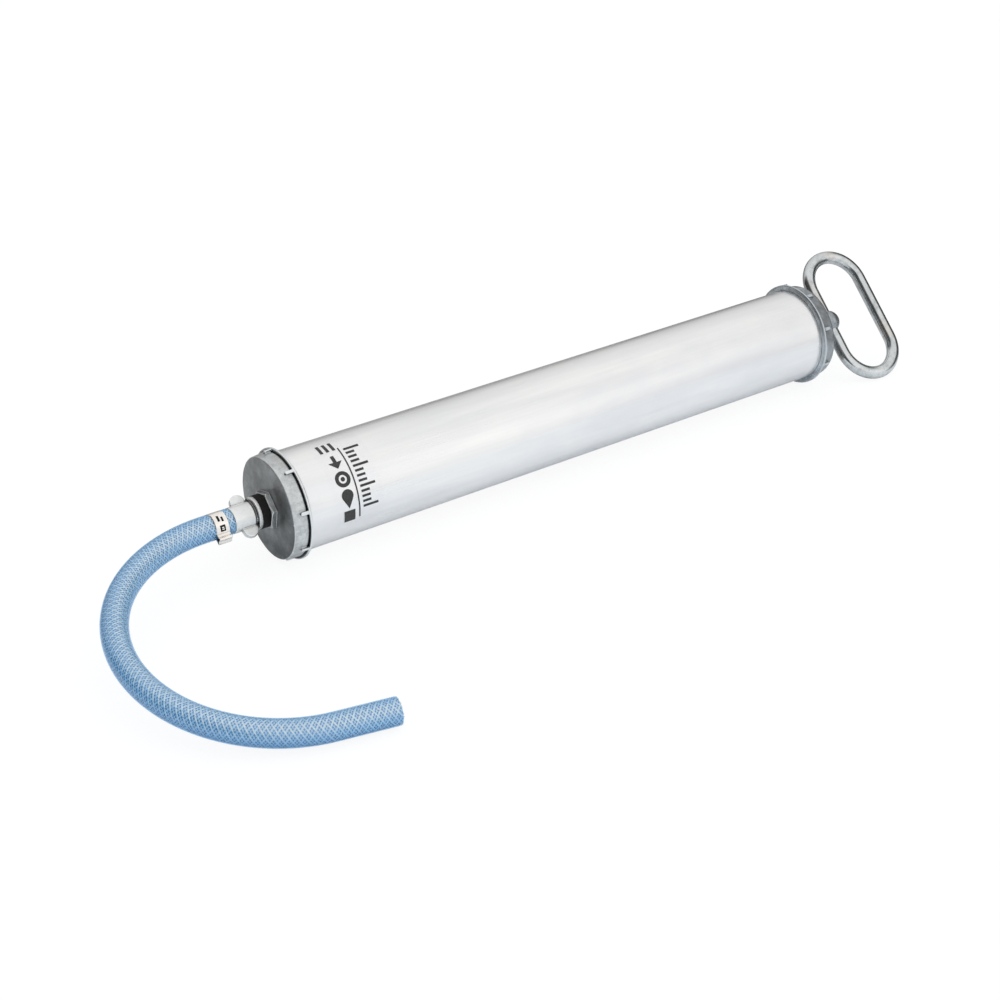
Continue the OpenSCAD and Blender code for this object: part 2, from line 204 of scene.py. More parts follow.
def cast_zinc(name, base, tint, rough, face=1.0, shade=1.0, mottling=1.0, corner_shade_at=0.34, crest=None):
    """Raw die-cast metal: mottled tone and fine grain, with painted shade in the corners and brighter edges
    that are partly wear and partly painted highlight.

    face and shade are painted light and shade: they scale the flat faces that look along -X, at their upper
    and lower front sides.
    The argument before crest is how closed in a corner has to be before painted shade darkens it. crest is
    the distance from the X axis beyond which the metal is brighter, partly wear from handling and partly a
    painted highlight.
    """
    s = Shader(name)
    mottle = s.noise(150, 6, 0.7)
    flow = s.noise(45, 5, 0.6)
    speck = s.noise(480, 5, 0.7)
    grain = s.noise(1700, 3, 0.7)
    darker = grey(base * (1 - 0.30 * mottling), tint)
    lighter = grey(min(0.97, base * (1 + 0.18 * mottling)), tint)
    stain = grey(base * 0.66, (0.98, 1.0, 0.99))
    wear_and_sheen = grey(min(0.95, base * 1.5), tint)
    tone = s.mix(s.span(mottle, 0, 1, 0.34, 0.66), darker, lighter)
    tone = s.mix(s.span(flow, 0, min(1, 0.7 * mottling), 0.44, 0.66), tone, stain)
    tone = s.mix(s.span(speck, 0, 0.55 * mottling, 0.54, 0.70), tone, grey(base * 0.55, tint))
    tone = s.mix(s.span(grain, 0, 0.45, 0.4, 0.75), tone, grey(min(0.97, base * 1.4), tint))
    shape = s.add("ShaderNodeNewGeometry")
    ends = s.add("ShaderNodeSeparateXYZ", {"Vector": shape.outputs["True Normal"]}).outputs["X"]
    where = s.add("ShaderNodeSeparateXYZ", {"Vector": s.place}).outputs
    # Painted light and shade: faces that look along -X are scaled by face, and darker towards the lower front
    # by shade, in patches.
    low_front = s.math("ADD", s.math("MULTIPLY", where["Y"], -14.0), s.math("MULTIPLY", where["Z"], -12.0))
    painted_face_shade = s.math("ADD", low_front, s.span(flow, -0.35, 0.35, 0.3, 0.7))
    flat = s.mix(s.span(painted_face_shade, 0, 1, -0.5, 0.62), grey(face), grey(face * shade))
    tone = s.mix(s.span(ends, 0, 1, -0.86, -0.96), tone, flat, "MULTIPLY")
    # Partly wear and partly painted highlight: the metal beyond crest is brighter.
    if crest:
        squares = [s.math("POWER", where[axis], 2.0) for axis in "YZ"]
        out = s.math("SQRT", s.math("ADD", *squares))
        tone = s.mix(s.span(out, 0, 0.75, crest, crest + 0.5 * MM), tone, wear_and_sheen)
    # Painted shade: ambient occlusion darkens the tone in corners and recesses.
    corners = s.add("ShaderNodeAmbientOcclusion", {"Distance": 2.6 * MM}, samples=8, only_local=True)
    corner_shade = s.span(corners.outputs["AO"], corner_shade_at * 0.2, 1.0, corner_shade_at, 0.90)
    corner_shade_tone = s.add("ShaderNodeCombineColor", {0: corner_shade, 1: corner_shade, 2: corner_shade}).outputs[0]
    tone = s.mix(1.0, tone, corner_shade_tone, "MULTIPLY")
    # Partly wear and partly painted highlight: sharp convex edges are brighter.
    tone = s.mix(s.span(shape.outputs["Pointiness"], 0, 0.9, 0.51, 0.56), tone, wear_and_sheen)
    roughness = s.math("ADD", s.span(mottle, rough - 0.06, rough + 0.08), s.span(flow, -0.04, 0.07))
    normal = s.bump(grain, 0.02 * MM, 0.5, s.bump(mottle, 0.15 * MM, 0.45))
    return s.finish(s.principled({
        "Base Color": tone, "Metallic": 0.94, "Roughness": roughness, "Normal": normal}))


def bright_steel(name, base, tint, rough, wear, stained=0.0):
    """Plated or polished steel with faint rub marks, and stains where stained is above 0."""
    s = Shader(name)
    cloud = s.noise(60, 4, 0.6)
    rub = s.noise(700, 3, 0.6, stretch=(0.25, 1, 1))
    tone = s.mix(s.span(cloud, 0, 1, 0.3, 0.7), grey(base, tint), grey(base * 0.88, tint))
    if stained:
        smear = s.noise(170, 5, 0.7)
        warm = s.noise(34, 3, 0.5)
        tone = s.mix(s.span(smear, 0, stained, 0.47, 0.68), tone, grey(base * 0.42, tint))
        tone = s.mix(s.span(warm, 0, stained, 0.52, 0.66), tone, grey(base * 0.92, (1.04, 0.94, 0.85)))
    roughness = s.math("ADD", s.span(cloud, rough, rough + wear), s.span(rub, -0.02, 0.03))
    normal = s.bump(rub, 0.006 * MM, 0.4, s.edges(0.15 * MM))
    if stained:
        normal = s.bump(smear, 0.12 * MM, 0.5, normal)
    return s.finish(s.principled({
        "Base Color": tone, "Metallic": 1.0, "Roughness": roughness, "Normal": normal}))


def rubber(name, base, tint=(1, 1, 1.04)):
    """Dull dark rubber, slightly dusty."""
    s = Shader(name)
    grain = s.noise(2200, 3, 0.6)
    dust = s.noise(90, 5, 0.65)
    tone = s.mix(s.span(dust, 0, 1, 0.45, 0.8), grey(base, tint), grey(base * 2.0 + 0.004, tint))
    normal = s.bump(grain, 0.02 * MM, 0.5, s.edges(0.2 * MM))
    return s.finish(s.principled({
        "Base Color": tone, "Roughness": s.span(dust, 0.5, 0.72),
        "Specular IOR Level": 0.25, "Normal": normal}))


def bronze():
    """Sintered bronze with open pores."""
    s = Shader("sintered_bronze")
    pores = s.noise(1800, 4, 0.7)
    tone = s.mix(s.span(pores, 0, 1, 0.35, 0.65), (0.34, 0.22, 0.11, 1), (0.66, 0.47, 0.25, 1))
    normal = s.bump(pores, 0.02 * MM, 0.6, s.edges(0.15 * MM))
    return s.finish(s.principled({
        "Base Color": tone, "Metallic": 0.9, "Roughness": s.span(pores, 0.32, 0.5), "Normal": normal}))


def outer_gloss(s, ior, most, normal=None):
    """How much a clear layer mirrors, on its outer side only."""
    values = {"IOR": ior}
    if normal:
        values["Normal"] = normal
    fresnel = s.add("ShaderNodeFresnel", values).outputs[0]
    outside = s.math("SUBTRACT", 1.0, s.add("ShaderNodeNewGeometry").outputs["Backfacing"])
    return s.math("MULTIPLY", s.math("MINIMUM", fresnel, most), outside)


def clear_skin():
    """The hose's clear outer layer: a thin blue tint that deepens towards the edges."""
    s = Shader("hose_clear_pvc")
    facing = s.add("ShaderNodeLayerWeight", {"Blend": 0.35}).outputs["Facing"]
    tint = s.ramp(facing, [(0.0, (0.96, 0.985, 1.0)), (0.5, (0.86, 0.95, 1.0)), (0.8, (0.64, 0.83, 0.97)),
                           (1.0, (0.38, 0.61, 0.84))])
    ripple = s.noise(330, 4, 0.6)
    normal = s.bump(ripple, 0.4 * MM, 0.5)
    through = s.add("ShaderNodeBsdfTransparent", {"Color": tint}).outputs[0]
    gloss = s.add("ShaderNodeBsdfGlossy", {
        "Color": (0.95, 0.97, 1, 1), "Roughness": s.span(ripple, 0.12, 0.24), "Normal": normal}).outputs[0]
    share = outer_gloss(s, 1.8, 0.5, normal)
    return s.finish(s.add("ShaderNodeMixShader", {0: share, 1: through, 2: gloss}).outputs[0])


def turned_to_light(s):
    """How far the surface faces the main light, from -1 to 1."""
    normal = s.add("ShaderNodeNewGeometry").outputs["Normal"]
    return s.vector("DOT_PRODUCT", normal, MAIN_LIGHT)


def milky_core():
    """The hose's inner layer: translucent blue, with painted shade that deepens the blue where it turns away
    from the main light.
    """
    s = Shader("hose_inner_pvc")
    cloud = s.noise(240, 3, 0.5)
    pale = s.mix(s.span(cloud, 0, 1, 0.3, 0.7), (0.23, 0.59, 0.97, 1), (0.33, 0.68, 1.0, 1))
    # Painted shade: a deeper blue where the surface turns away from the main light.
    tone = s.mix(s.smooth(turned_to_light(s), 1, 0, -0.35, 0.75), pale, (0.085, 0.40, 0.75, 1))
    body = s.principled({
        "Base Color": tone, "Roughness": s.span(cloud, 0.25, 0.4), "Specular IOR Level": 0.3})
    glow = s.add("ShaderNodeBsdfTranslucent", {"Color": tone}).outputs[0]
    return s.finish(s.add("ShaderNodeMixShader", {0: 0.3, 1: body, 2: glow}).outputs[0])


def painted_glint(s):
    """How strongly a bundle of fibres gets its painted glint: most where the fibres cross the light's mirror
    direction.
    """
    strand = s.add("ShaderNodeAttribute", attribute_name="strand").outputs["Vector"]
    turned = s.add("ShaderNodeVectorTransform", {"Vector": strand}, convert_from="OBJECT", convert_to="WORLD")
    eye = s.add("ShaderNodeNewGeometry").outputs["Incoming"]
    halfway = s.vector("NORMALIZE", s.vector("ADD", eye, MAIN_LIGHT))
    along = s.math("ABSOLUTE", s.vector("DOT_PRODUCT", turned.outputs["Vector"], halfway))
    return s.smooth(along, 1, 0, 0.08, 0.72)


def white_yarn():
    """Silky reinforcing yarn with painted glints and painted shade: white where it would glint, bluer where
    it doesn't, and bluer again where it is turned away from the main light.
    """
    s = Shader("braid_yarn")
    fibre = s.noise(2600, 3, 0.6, stretch=(0.6, 1, 1))
    wear_and_sheen = s.noise(420, 4, 0.65)
    dull = s.mix(s.span(fibre, 0, 1, 0.3, 0.7), (0.42, 0.70, 0.98, 1), (0.56, 0.82, 1.0, 1))
    glint_white = s.mix(s.span(fibre, 0, 1, 0.3, 0.7), (0.94, 0.98, 1.0, 1), (1.0, 1.0, 1.0, 1))
    # Painted highlight: the glint's white is put into the colour, weaker in random patches.
    glint_strength = s.math("MULTIPLY", painted_glint(s), s.span(wear_and_sheen, 0.6, 1.0, 0.34, 0.5))
    tone = s.mix(glint_strength, dull, glint_white)
    # Painted shade: bluer where the yarn turns away from the main light.
    tone = s.mix(s.smooth(turned_to_light(s), 1, 0, -0.5, 0.4), tone, (0.23, 0.56, 0.88, 1))
    body = s.principled({
        "Base Color": tone, "Roughness": 0.35, "Sheen Weight": 0.2,
        "Normal": s.bump(fibre, 0.04 * MM, 0.5)})
    glow = s.add("ShaderNodeBsdfTranslucent", {"Color": tone}).outputs[0]
    return s.finish(s.add("ShaderNodeMixShader", {0: 0.2, 1: body, 2: glow}).outputs[0])


def clear_film():
    """The label's clear film, nearly invisible but for a faint gloss."""
    s = Shader("clear_film")
    dust = s.noise(300, 4, 0.6)
    through = s.add("ShaderNodeBsdfTransparent", {"Color": (0.998, 0.998, 1.0, 1)}).outputs[0]
    gloss = s.add("ShaderNodeBsdfGlossy", {
        "Color": (0.9, 0.9, 0.92, 1), "Roughness": s.span(dust, 0.2, 0.3)}).outputs[0]
    share = outer_gloss(s, 1.25, 0.12)
    return s.finish(s.add("ShaderNodeMixShader", {0: share, 1: through, 2: gloss}).outputs[0])


def black_ink():
    """Printed black with a few paler specks."""
    s = Shader("black_ink")
    speck = s.noise(900, 3, 0.6)
    tone = s.mix(s.span(speck, 0, 1, 0.35, 0.8), grey(0.018), grey(0.05, (1, 1.02, 1.06)))
    return s.finish(s.principled({"Base Color": tone, "Roughness": s.span(speck, 0.35, 0.5)}))


def studio_floor():
    """White to the camera, with only a faint shadow. Reflections see it darken behind the object."""
    s = Shader("studio_floor")
    cloud = s.noise(2.5, 3, 0.5)
    split = s.add("ShaderNodeSeparateXYZ", {"Vector": s.place}).outputs
    behind = s.smooth(split["Y"], 0, 1, -0.06, 0.22)
    aside = s.math("ADD", split["Y"], s.math("MULTIPLY", split["X"], 1.2))
    beyond = s.math("MULTIPLY", s.smooth(split["X"], 0, 0.9, 0.33, 0.40), s.smooth(aside, 0, 1, 0.28, 0.40))
    tone = s.mix(cloud, grey(0.93, (0.945, 0.98, 1.015)), grey(0.955, (0.945, 0.98, 1.015)))
    seen = s.mix(behind, tone, grey(0.36))
    seen = s.mix(beyond, seen, grey(0.05))
    unseen = s.principled({"Base Color": seen, "Roughness": 0.9, "Specular IOR Level": 0.0})
    paper = s.principled({"Base Color": tone, "Roughness": 0.9, "Specular IOR Level": 0.0})
    glow = s.add("ShaderNodeEmission", {"Color": grey(1.0), "Strength": 1.04}).outputs[0]
    shown = s.add("ShaderNodeMixShader", {0: 0.14, 1: glow, 2: paper}).outputs[0]
    eye = s.add("ShaderNodeLightPath").outputs["Is Camera Ray"]
    return s.finish(s.add("ShaderNodeMixShader", {0: eye, 1: unseen, 2: shown}).outputs[0])


# ---------------------------------------------------------------- mesh tools

def mesh_object(name, verts, faces, material, smooth=True):
    mesh = bpy.data.meshes.new(name)
    mesh.from_pydata([tuple(v) for v in verts], [], faces)
    mesh.validate()
    mesh.update()
    obj = bpy.data.objects.new(name, mesh)
    bpy.context.scene.collection.objects.link(obj)
    mesh.materials.append(material)
    mesh.polygons.foreach_set("use_smooth", [smooth] * len(mesh.polygons))
    return obj


def crisp(obj, angle=28):
    """Keeps the shading of flat faces flat up to their edges."""
    obj.data.set_sharp_from_angle(angle=math.radians(angle))
    return obj


def outward(obj):
    """Turns every face outwards."""
    bm = bmesh.new()
    bm.from_mesh(obj.data)
    bmesh.ops.recalc_face_normals(bm, faces=bm.faces)
    bm.to_mesh(obj.data)
    bm.free()
    return obj


def apply_modifiers(obj):
    """Replaces an object's mesh by the result of its modifiers."""
    graph = bpy.context.evaluated_depsgraph_get()
    mesh = bpy.data.meshes.new_from_object(obj.evaluated_get(graph))
    old = obj.data
    obj.modifiers.clear()
    obj.data = mesh
    bpy.data.meshes.remove(old)
    return obj


def skin(count, sides, first=0, closed=False):
    """Faces over a row of rings of points, with both ends capped unless the row closes on itself."""
    faces = []
    for i in range(count if closed else count - 1):
        a, b = first + i * sides, first + (i + 1) % count * sides
        faces += [(a + k, a + (k + 1) % sides, b + (k + 1) % sides, b + k) for k in range(sides)]
    if not closed:
        last = first + (count - 1) * sides
        faces += [tuple(range(first, first + sides)), tuple(range(last, last + sides))]
    return faces


def rings_to_mesh(name, rings, material, closed=False):
    """A skin over a row of rings, each a list of the same number of points."""
    faces = skin(len(rings), len(rings[0]), closed=closed)
    return outward(mesh_object(name, [p for ring in rings for p in ring], faces, material))


def lathe(name, profile, material, steps):
    """A closed solid of revolution about the X axis. profile is a closed outline of (x, r) points."""
    rings = []
    for i in range(steps):
        a = 2 * math.pi * i / steps
        rings.append([Vector((x, r * math.cos(a), r * math.sin(a))) for x, r in profile])
    return rings_to_mesh(name, rings, material, closed=True)


def arc2(cx, cy, r, start, end, steps):
    """Points along an arc in a plane, angles in degrees."""
    turn = [math.radians(start + (end - start) * i / steps) for i in range(steps + 1)]
    return [(cx + r * math.cos(t), cy + r * math.sin(t)) for t in turn]


def soften(obj, width, angle=35):
    """Rounds a piece's sharp edges."""
    obj.modifiers.new("weld", "WELD").merge_threshold = SAME_POINT
    bevel = obj.modifiers.new("round", "BEVEL")
    bevel.width = width
    bevel.segments = 2
    bevel.limit_method = "ANGLE"
    bevel.angle_limit = math.radians(angle)


def cast_copy(node, name, material, voxel, passes, ripple, cutters=(), carve=None):
    """A casting made from a CAD node: remeshed finely, with rounded corners and a slightly uneven skin.

    carve is a function that moves a point, for shapes cut into the skin.
    """
    source = frame["nodes"][node]
    obj = bpy.data.objects.new(name, source.data.copy())
    bpy.context.scene.collection.objects.link(obj)
    obj.modifiers.new("weld", "WELD").merge_threshold = SAME_POINT
    punch(obj, cutters)
    remesh = obj.modifiers.new("remesh", "REMESH")
    remesh.mode = "VOXEL"
    remesh.voxel_size = voxel
    smooth = obj.modifiers.new("smooth", "SMOOTH")
    smooth.factor = 0.5
    smooth.iterations = passes
    apply_modifiers(obj)
    mesh = obj.data
    spots = [(v.co.copy(), v.normal.copy()) for v in mesh.vertices]
    moved = [c + n * (noise.fractal(c * 220, 1.0, 2.0, 3) * ripple) for c, n in spots]
    if carve:
        moved = [carve(c) for c in moved]
    mesh.vertices.foreach_set("co", [value for point in moved for value in point])
    mesh.update()
    mesh.polygons.foreach_set("use_smooth", [True] * len(mesh.polygons))
    mesh.materials.clear()
    mesh.materials.append(material)
    return obj


# ---------------------------------------------------------------- the hose

class HosePath:
    """The hose's centre line, worked out from the mount at its free end and from the clamp."""

    def __init__(self):
        mount = next(m for m in frame["record"]["mounts"] if m["name"] == "hose_outlet_bore")
        middle, way = Vector(mount["pos_m"]), Vector(mount["axis"]).normalized()
        self.tail = mount["dims"]["length_mm"] * MM
        self.turn = math.acos(-way.x)
        self.side = Vector((0, way.y, way.z)).normalized()
        reach = middle.dot(self.side) - self.tail / 2 * math.sin(self.turn)
        self.bend_r = reach / (1 - math.cos(self.turn))
        self.start = Vector((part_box("ear_clamp")[1].x + CLAMP_SETBACK, 0, 0))
        run = self.start.x - middle.x - self.tail / 2 * math.cos(self.turn)
        self.lead = run - self.bend_r * math.sin(self.turn)
        self.normal = Vector((-1, 0, 0)).cross(self.side)
        self.length = self.lead + self.bend_r * self.turn + self.tail

    def at(self, s):
        """(point, tangent, sideways) at distance s from the connector."""
        if s <= self.lead:
            angle, along, across = 0.0, s, 0.0
        elif s <= self.lead + self.bend_r * self.turn:
            angle = (s - self.lead) / self.bend_r
            along = self.lead + self.bend_r * math.sin(angle)
            across = self.bend_r * (1 - math.cos(angle))
        else:
            angle, over = self.turn, s - self.lead - self.bend_r * self.turn
            along = self.lead + self.bend_r * math.sin(angle) + over * math.cos(angle)
            across = self.bend_r * (1 - math.cos(angle)) + over * math.sin(angle)
        back = Vector((-1, 0, 0))
        tangent = back * math.cos(angle) + self.side * math.sin(angle)
        point = self.start + back * along + self.side * across
        return point, tangent, self.normal.cross(tangent)

    def ring(self, s, r, sides):
        point, _, sideways = self.at(s)
        return [point + (sideways * math.cos(a) + self.normal * math.sin(a)) * r
                for a in (2 * math.pi * k / sides for k in range(sides))]


def hose_tube(path, name, outer, inner, material, step, sides, round_off):
    """A round tube along the hose, its cut ends slightly rounded."""
    outline = [(0, inner), (0, outer - round_off), (round_off, outer)]
    count = int(path.length / step)
    inside = [path.length * i / count for i in range(1, count)]
    outline += [(s, outer) for s in inside]
    outline += [(path.length - round_off, outer), (path.length, outer - round_off), (path.length, inner)]
    outline += [(s, inner) for s in reversed(inside)]
    rings = [path.ring(s, r, sides) for s, r in outline]
    return rings_to_mesh(name, rings, material, closed=True)


def yarn_section():
    """The outline of a flat yarn, in shares of its width and thickness."""
    return [(-0.5, 0), (-0.25, 0.5), (0.25, 0.5), (0.5, 0), (0.25, -0.5), (-0.25, -0.5)]


def braid(path, material):
    """The reinforcing yarns: two sets of flat helical strands that pass over and under each other.

    Every second strand is narrower. Each point carries its strand's direction, for the yarn's glints.
    """
    verts, faces, ways = [], [], []
    count = int(path.length / (0.9 * MM))
    section = yarn_section()
    weave = 0.12 * MM
    narrow = 0.40
    slope = 2 * math.pi * BRAID_R / BRAID_LEAD
    for way in (1, -1):
        for strand in range(YARNS_PER_WAY):
            wide = YARN_WIDTH * (1.0 if strand % 2 else narrow)
            faces += skin(count + 1, len(section), first=len(verts))
            for i in range(count + 1):
                s = path.length * i / count
                turn = 2 * math.pi * s / BRAID_LEAD
                angle = way * turn + 2 * math.pi * strand / YARNS_PER_WAY
                point, tangent, sideways = path.at(s)
                out = sideways * math.cos(angle) + path.normal * math.sin(angle)
                around = path.normal * math.cos(angle) - sideways * math.sin(angle)
                along = (tangent + around * way * slope).normalized()
                across = along.cross(out)
                lift = BRAID_R + way * weave * math.cos(YARNS_PER_WAY * turn)
                verts += [point + out * (lift + v * YARN_THICK) + across * (u * wide) for u, v in section]
                ways += [*along] * len(section)
    yarn = outward(mesh_object("hose_braid", verts, faces, material))
    yarn.data.attributes.new("strand", "FLOAT_VECTOR", "POINT").data.foreach_set("vector", ways)
    return yarn


def build_hose(looks):
    """A thick inner tube, the braid on it and a clear skin over both."""
    path = HosePath()
    step = 2.4 * MM
    core = hose_tube(path, "hose_inner", INNER_TUBE_R, HOSE_BORE_R, looks["core"], step, 80, 0.1 * MM)
    cover = hose_tube(path, "hose_skin", HOSE_R, SKIN_INNER_R, looks["skin"], step, 96, 0.15 * MM)
    yarn = braid(path, looks["yarn"])
    for piece in (core, cover, yarn):
        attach(piece, "hose_unit")
        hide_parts("hose")


# ---------------------------------------------------------------- the ear clamp

def smooth_path(points, steps, closed=False):
    """A Catmull-Rom curve through points in a plane."""
    out, n = [], len(points)
    spans = n if closed else n - 1
    for i in range(spans):
        pick = [points[(i + k) % n] if closed else points[min(max(i + k, 0), n - 1)] for k in (-1, 0, 1, 2)]
        for j in range(steps):
            t = j / steps
            out.append(tuple(
                0.5 * (2 * b + (c - a) * t + (2 * a - 5 * b + 4 * c - d) * t * t
                       + (3 * b - a - 3 * c + d) * t ** 3)
                for a, b, c, d in zip(*pick)))
    return out if closed else out + [tuple(points[-1])]


def band_mesh(name, path, width, thick, x_mid, material, closed):
    """A strip swept along a path of (y, z) points, lying on its outside, with rounded edges."""
    rim = min(thick * 0.45, 0.25 * MM)
    half = width / 2
    section = ([(-half, rim), (-half + rim, 0), (half - rim, 0), (half, rim)]
               + [(half, thick - rim), (half - rim, thick), (-half + rim, thick), (-half, thick - rim)])
    rings, n = [], len(path)
    for i, (y, z) in enumerate(path):
        before = path[(i - 1) % n] if closed else path[max(i - 1, 0)]
        after = path[(i + 1) % n] if closed else path[min(i + 1, n - 1)]
        dy, dz = after[0] - before[0], after[1] - before[1]
        size = math.hypot(dy, dz)
        ny, nz = dz / size, -dy / size
        rings.append([Vector((x_mid + u, y + ny * v, z + nz * v)) for u, v in section])
    return rings_to_mesh(name, rings, material, closed=closed)


def polar(angle, r):
    return r * math.cos(math.radians(angle)), r * math.sin(math.radians(angle))


def punch(obj, cutters):
    """Cuts closed shapes out of a piece."""
    for cutter in cutters:
        cut = obj.modifiers.new("cut", "BOOLEAN")
        cut.operation, cut.solver, cut.object = "DIFFERENCE", "EXACT", cutter
    apply_modifiers(obj)
    for cutter in cutters:
        bpy.data.objects.remove(cutter)


def block(angle, r_mid, depth, x_mid, length, width, material):
    """A closed box across the band, used as a cutter or as a tab."""
    out = Vector((0, *polar(angle, 1)))
    around = Vector((0, *polar(angle + 90, 1)))
    along = Vector((1, 0, 0))
    centre = along * x_mid + out * r_mid
    corners = ((-0.5, -0.5), (0.5, -0.5), (0.5, 0.5), (-0.5, 0.5))
    rings = []
    for w in (-0.5, 0.5):
        lift = out * (w * depth)
        rings.append([centre + along * (a * length) + around * (b * width) + lift for a, b in corners])
    return rings_to_mesh("cutter", rings, material)


def clamp_ring(ear):
    """The band's path round the hose: a circle that lifts into the crimped ear at one angle."""
    shoulder = 19
    inner = HOSE_R + 0.03 * MM
    ring = [polar(ear + shoulder + (360 - 2 * shoulder) * i / 90, inner) for i in range(91)]
    out = Vector(polar(ear, 1))
    side = Vector(polar(ear + 90, 1))
    half_ear = [(0, 12.75), (1.1, 13.15), (2.6, 13.35), (3.15, 12.3), (2.55, 10.6), (2.75, 9.5)]
    shape = [(-t, r) for t, r in half_ear[:0:-1]] + half_ear
    bulge = [tuple(out * (r * MM) + side * (t * MM)) for t, r in shape]
    loop = ring + smooth_path(bulge, 5)
    loop.reverse()
    return loop


def build_clamp(looks):
    """A band round the hose that lifts into a crimped ear; its end laps over and hooks in."""
    low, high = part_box("ear_clamp")
    x_mid, width = (low.x + high.x) / 2, high.x - low.x
    steel, shade = looks["clamp"], looks["shade"]
    inner, thick = HOSE_R + 0.03 * MM, CLAMP_THICK
    ear, lap_start, lap_end = 205, 92, 184
    lap_angles = [lap_end - (lap_end - lap_start) * i / 30 for i in range(31)]
    band = band_mesh("ear_clamp_band", clamp_ring(ear), width, thick, x_mid, steel, True)
    over = [polar(angle, inner + thick + 0.02 * MM) for angle in lap_angles]
    lap = band_mesh("ear_clamp_lap", over, width, thick, x_mid, steel, False)
    # Each opening: its angle, length and width in millimetres, and shift along the band's width.
    openings = [(121, 1.6, 4.4, -0.13), (127, 1.4, 3.4, 0.14), (164, 3.8, 4.4, 0)]
    for piece in (band, lap):
        punch(piece, [block(a, inner + thick, 6 * MM, x_mid + shift * width, long * MM, wide * MM, steel)
                      for a, long, wide, shift in openings])
    # Painted shade: a thin black sheet under the lapped end shows dark through the openings, and a black
    # block inside the ear stands for the shadow in its hollow.
    under = [polar(angle, inner - 0.02 * MM) for angle in lap_angles]
    shade_sheet = band_mesh("ear_clamp_shade", under, width - 1 * MM, 0.05 * MM, x_mid, shade, False)
    ear_shadow_block = block(ear, 11.2 * MM, 2.6 * MM, x_mid, width - 1.4 * MM, 4.4 * MM, shade)
    ear_shadow_block.name = "ear_clamp_ear_shadow"
    tabs = [block(a, inner + thick * 1.2, 0.5 * MM, x_mid, 1.7 * MM, 0.8 * MM, steel) for a in (160.5, 167.5)]
    for i, tab in enumerate(tabs):
        tab.name = f"ear_clamp_hook_{i + 1}"
    for piece in [ear_shadow_block] + tabs:
        soften(piece, 0.12 * MM)
    for piece in [band, lap, shade_sheet, ear_shadow_block] + tabs:
        piece.data.polygons.foreach_set("use_smooth", [True] * len(piece.data.polygons))
        crisp(piece)
        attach(piece, "hose_unit")
        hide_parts("ear_clamp")


# ---------------------------------------------------------------- handle and castings

def loop_outline(bend, half):
    """A closed oval: two straights at bend from the middle line, half long either way, and two bends."""
    centres = []
    for sign, start in ((1, 0), (-1, 180)):
        centres += [(sign * bend, sign * half * (2 * i / 24 - 1)) for i in range(24)]
        centres += arc2(0, sign * half, bend, start, start + 180, 48)[:-1]
    return centres


def build_handle(looks):
    """The closed loop of round bar, with a faint flattening where it was bent."""
    low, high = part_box("handle_loop")
    bend = (high.x - low.x - 2 * BAR_R) / 2
    reach_y, reach_z = high.y - BAR_R, high.z - BAR_R
    half = math.hypot(reach_y, reach_z) - bend
    way = Vector((0, reach_y, reach_z)).normalized()
    flat = Vector((1, 0, 0))
    mid = flat * ((low.x + high.x) / 2)
    up = flat.cross(way)
    centres = loop_outline(bend, half)
    turns = [2 * math.pi * k / 48 for k in range(48)]
    rings = []
    for i, (u, v) in enumerate(centres):
        (u0, v0), (u1, v1) = centres[i - 1], centres[(i + 1) % len(centres)]
        side = (flat * (u1 - u0) + way * (v1 - v0)).normalized().cross(up)
        point = mid + flat * u + way * v
        bent_r = BAR_R * (0.985 if abs(v) > half else 1.0)
        rings.append([point + side * (bent_r * math.cos(a)) + up * (BAR_R * math.sin(a)) for a in turns])
    handle = rings_to_mesh("handle_bar_loop", rings, looks["handle"], closed=True)
    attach(handle, "rod")
    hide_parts("handle_loop")


def rim_groove(material):
    """A cutter for the channel between the front cap's side and its rim."""
    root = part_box("barrel_tube")[1].z + 2 * MM
    inner, outer = root - 1.2 * MM, root + 0.05 * MM
    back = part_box("front_cap")[1].x - 2.2 * MM
    front = back - GROOVE_WIDTH
    return lathe("groove", [(back, inner), (back, outer), (front, outer), (front, inner)], material, 200)


def pipe_thread():
    """A function that carves the connector's spigot into a right-hand thread, inside its outline."""
    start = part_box("connector_gasket")[0].x + 0.4 * MM
    bore_side = 7.6 * MM

    def carve(point):
        r = math.hypot(point.y, point.z)
        if point.x < start or r < bore_side:
            return point
        turn = point.x / PITCH - math.atan2(point.z, point.y) / (2 * math.pi)
        depth = THREAD_DEPTH * abs(turn % 1 * 2 - 1)
        return Vector((point.x, point.y * (1 - depth / r), point.z * (1 - depth / r)))
    return carve


def build_castings(looks):
    """The die-cast pieces. A recipe: node, body, look, voxel size, rounds of smoothing, unevenness."""
    recipes = [
        ("front_cap", "barrel", "front_zinc", 0.36 * MM, 2, 0.05 * MM),
        ("rear_cap", "barrel", "zinc", 0.36 * MM, 2, 0.05 * MM),
        ("rod_head", "rod", "zinc", 0.3 * MM, 4, 0.05 * MM),
        ("wing_connector", "hose_unit", "bright_zinc", 0.25 * MM, 3, 0.03 * MM),
    ]
    for node, body, look, voxel, passes, ripple in recipes:
        cutters = [rim_groove(looks[look])] if node == "front_cap" else []
        carve = pipe_thread() if node == "wing_connector" else None
        piece = cast_copy(node, node + "_casting", looks[look], voxel, passes, ripple, cutters, carve)
        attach(piece, body)
        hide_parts(node)


# ---------------------------------------------------------------- the print on the barrel

def wrapped(stations, radius, thick):
    """Rings of a thin solid on the barrel. A station is ((s, x), (s, x)): the two edges of a strip,
    with s the distance round the barrel from the +Y side."""
    rings = []
    for edges in stations:
        corners = [(s, x, r) for s, x in edges for r in (radius, radius + thick)]
        order = [corners[k] for k in (0, 2, 3, 1)]
        rings.append([Vector((x, r * math.cos(s / radius), r * math.sin(s / radius))) for s, x, r in order])
    return rings


